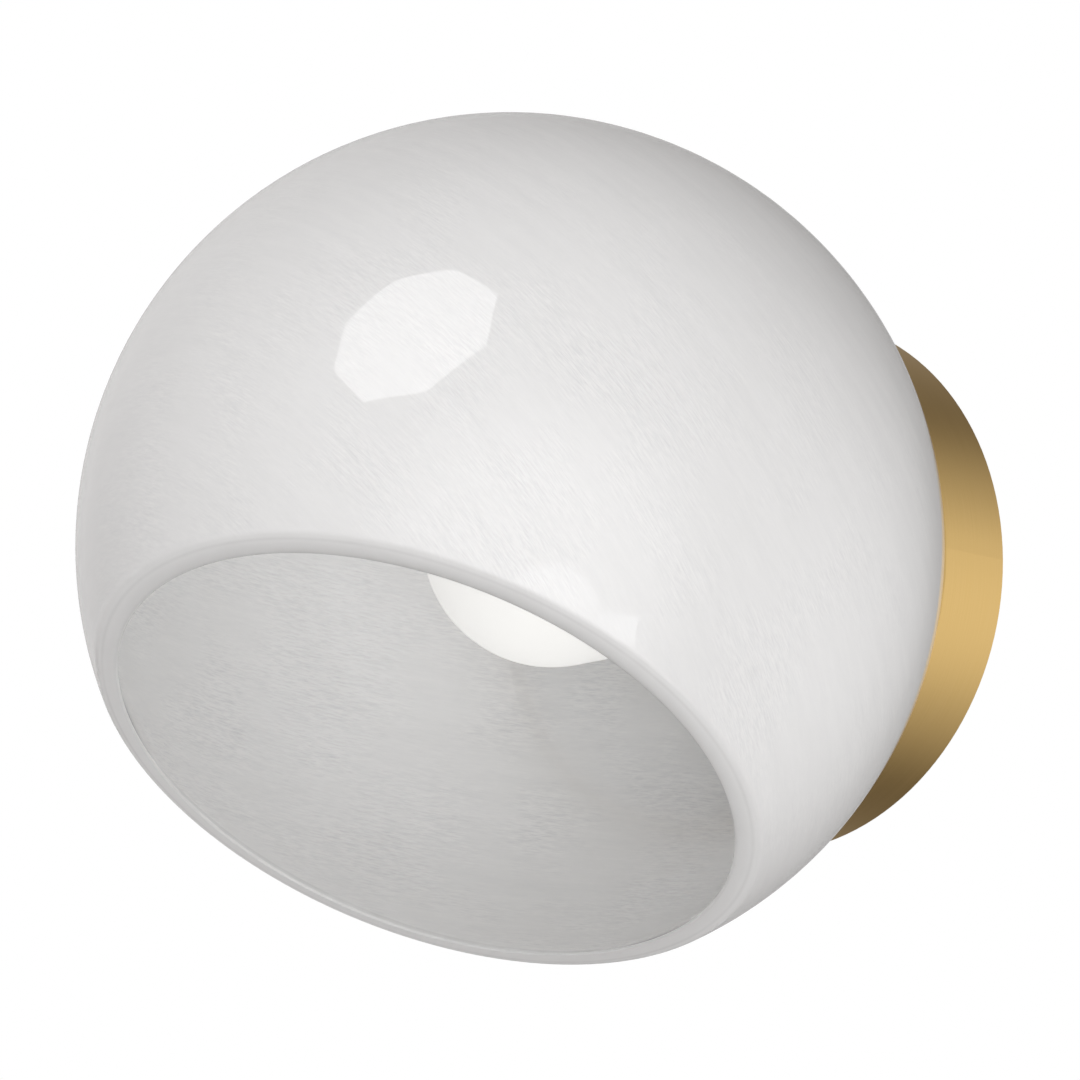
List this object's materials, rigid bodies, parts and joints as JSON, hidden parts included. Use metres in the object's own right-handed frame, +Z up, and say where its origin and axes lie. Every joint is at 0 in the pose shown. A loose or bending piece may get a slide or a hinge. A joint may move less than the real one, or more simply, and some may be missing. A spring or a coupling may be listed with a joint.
{
  "type": "wall sconce",
  "caption": "Round wall light: a white cased-glass globe with a slanted mouth, clamped on a lamp holder in front of a round brass canopy, with a bulb inside.",
  "frame": {"origin": "on the wall plane at the canopy's axis, midway between the two box-screw slots", "axes": "+Y into the wall, -Y out into the room, +Z up, +X to the right of someone facing the wall"},
  "size_m": [0.2, 0.2063, 0.193],
  "materials": {
    "satin_brass": "satin lacquered, drawn",
    "zinc_steel": "pressed and zinc plated",
    "green_screw": "green dyed",
    "bare_copper": "bare copper, drawn",
    "connector_plastic": "moulded",
    "holder_white": "moulded",
    "contact_brass": "pressed",
    "nickel": "nickel plated, satin",
    "black_insulation": "extruded",
    "white_insulation": "extruded",
    "gasket_foam": "closed-cell foam",
    "cased_glass": "blown, cased and polished",
    "washer_fibre": "punched fibre",
    "ring_white": "moulded",
    "bulb_diffuser": "frosted",
    "bulb_white": "moulded",
    "led_board": "solder mask",
    "driver_board": "laminate",
    "base_black": "fused glass"
  },
  "bodies": {
    "fixture": {"canopy": "satin_brass", "crossbar": "zinc_steel", "canopy_screws": "satin_brass", "ground_screw": "green_screw", "ground_wire": "bare_copper", "wire_connectors": "connector_plastic", "socket_bracket": "zinc_steel", "bracket_screws": "zinc_steel", "socket_body": "holder_white", "socket_shell": "contact_brass", "socket_contact": "contact_brass", "terminal_screw_hot": "contact_brass", "terminal_screw_neutral": "nickel", "hot_lead": "black_insulation", "neutral_lead": "white_insulation", "seat_gasket": "gasket_foam"},
    "shade": {"glass_globe": "cased_glass"},
    "ring_slide": {"ring_washer": "washer_fibre"},
    "ring": {"shade_ring": "ring_white"},
    "bulb_slide": {"bulb_foot_contact": "nickel"},
    "bulb": {"bulb_envelope": "bulb_diffuser", "bulb_collar": "bulb_white", "bulb_led_board": "led_board", "bulb_driver_board": "driver_board", "bulb_base_shell": "nickel", "bulb_base_insulator": "base_black"}
  },
  "joints": [
    {"name": "shade_turn", "type": "hinge", "parent": "fixture", "child": "shade", "pos_m": [0, -0.1063, -0.0042], "axis": [0, -1, 0], "continuous": true},
    {"name": "ring_travel", "type": "slide", "parent": "fixture", "child": "ring_slide", "axis": [0, -1, 0], "range_m": [0, 0.0061]},
    {"name": "ring_turn", "type": "hinge", "parent": "ring_slide", "child": "ring", "pos_m": [0, -0.0335, 0], "axis": [0, -1, 0], "range_deg": [0, 720]},
    {"name": "bulb_travel", "type": "slide", "parent": "fixture", "child": "bulb_slide", "axis": [0, -1, 0], "range_m": [0, 0.0182]},
    {"name": "bulb_turn", "type": "hinge", "parent": "bulb_slide", "child": "bulb", "pos_m": [0, -0.0905, 0], "axis": [0, -1, 0], "range_deg": [0, 1800]}
  ],
  "couplings": [
    {"joint": "ring_travel", "follows": "ring_turn", "m_per_rad": 0.00047746},
    {"joint": "bulb_travel", "follows": "bulb_turn", "m_per_rad": 0.00057757}
  ]
}
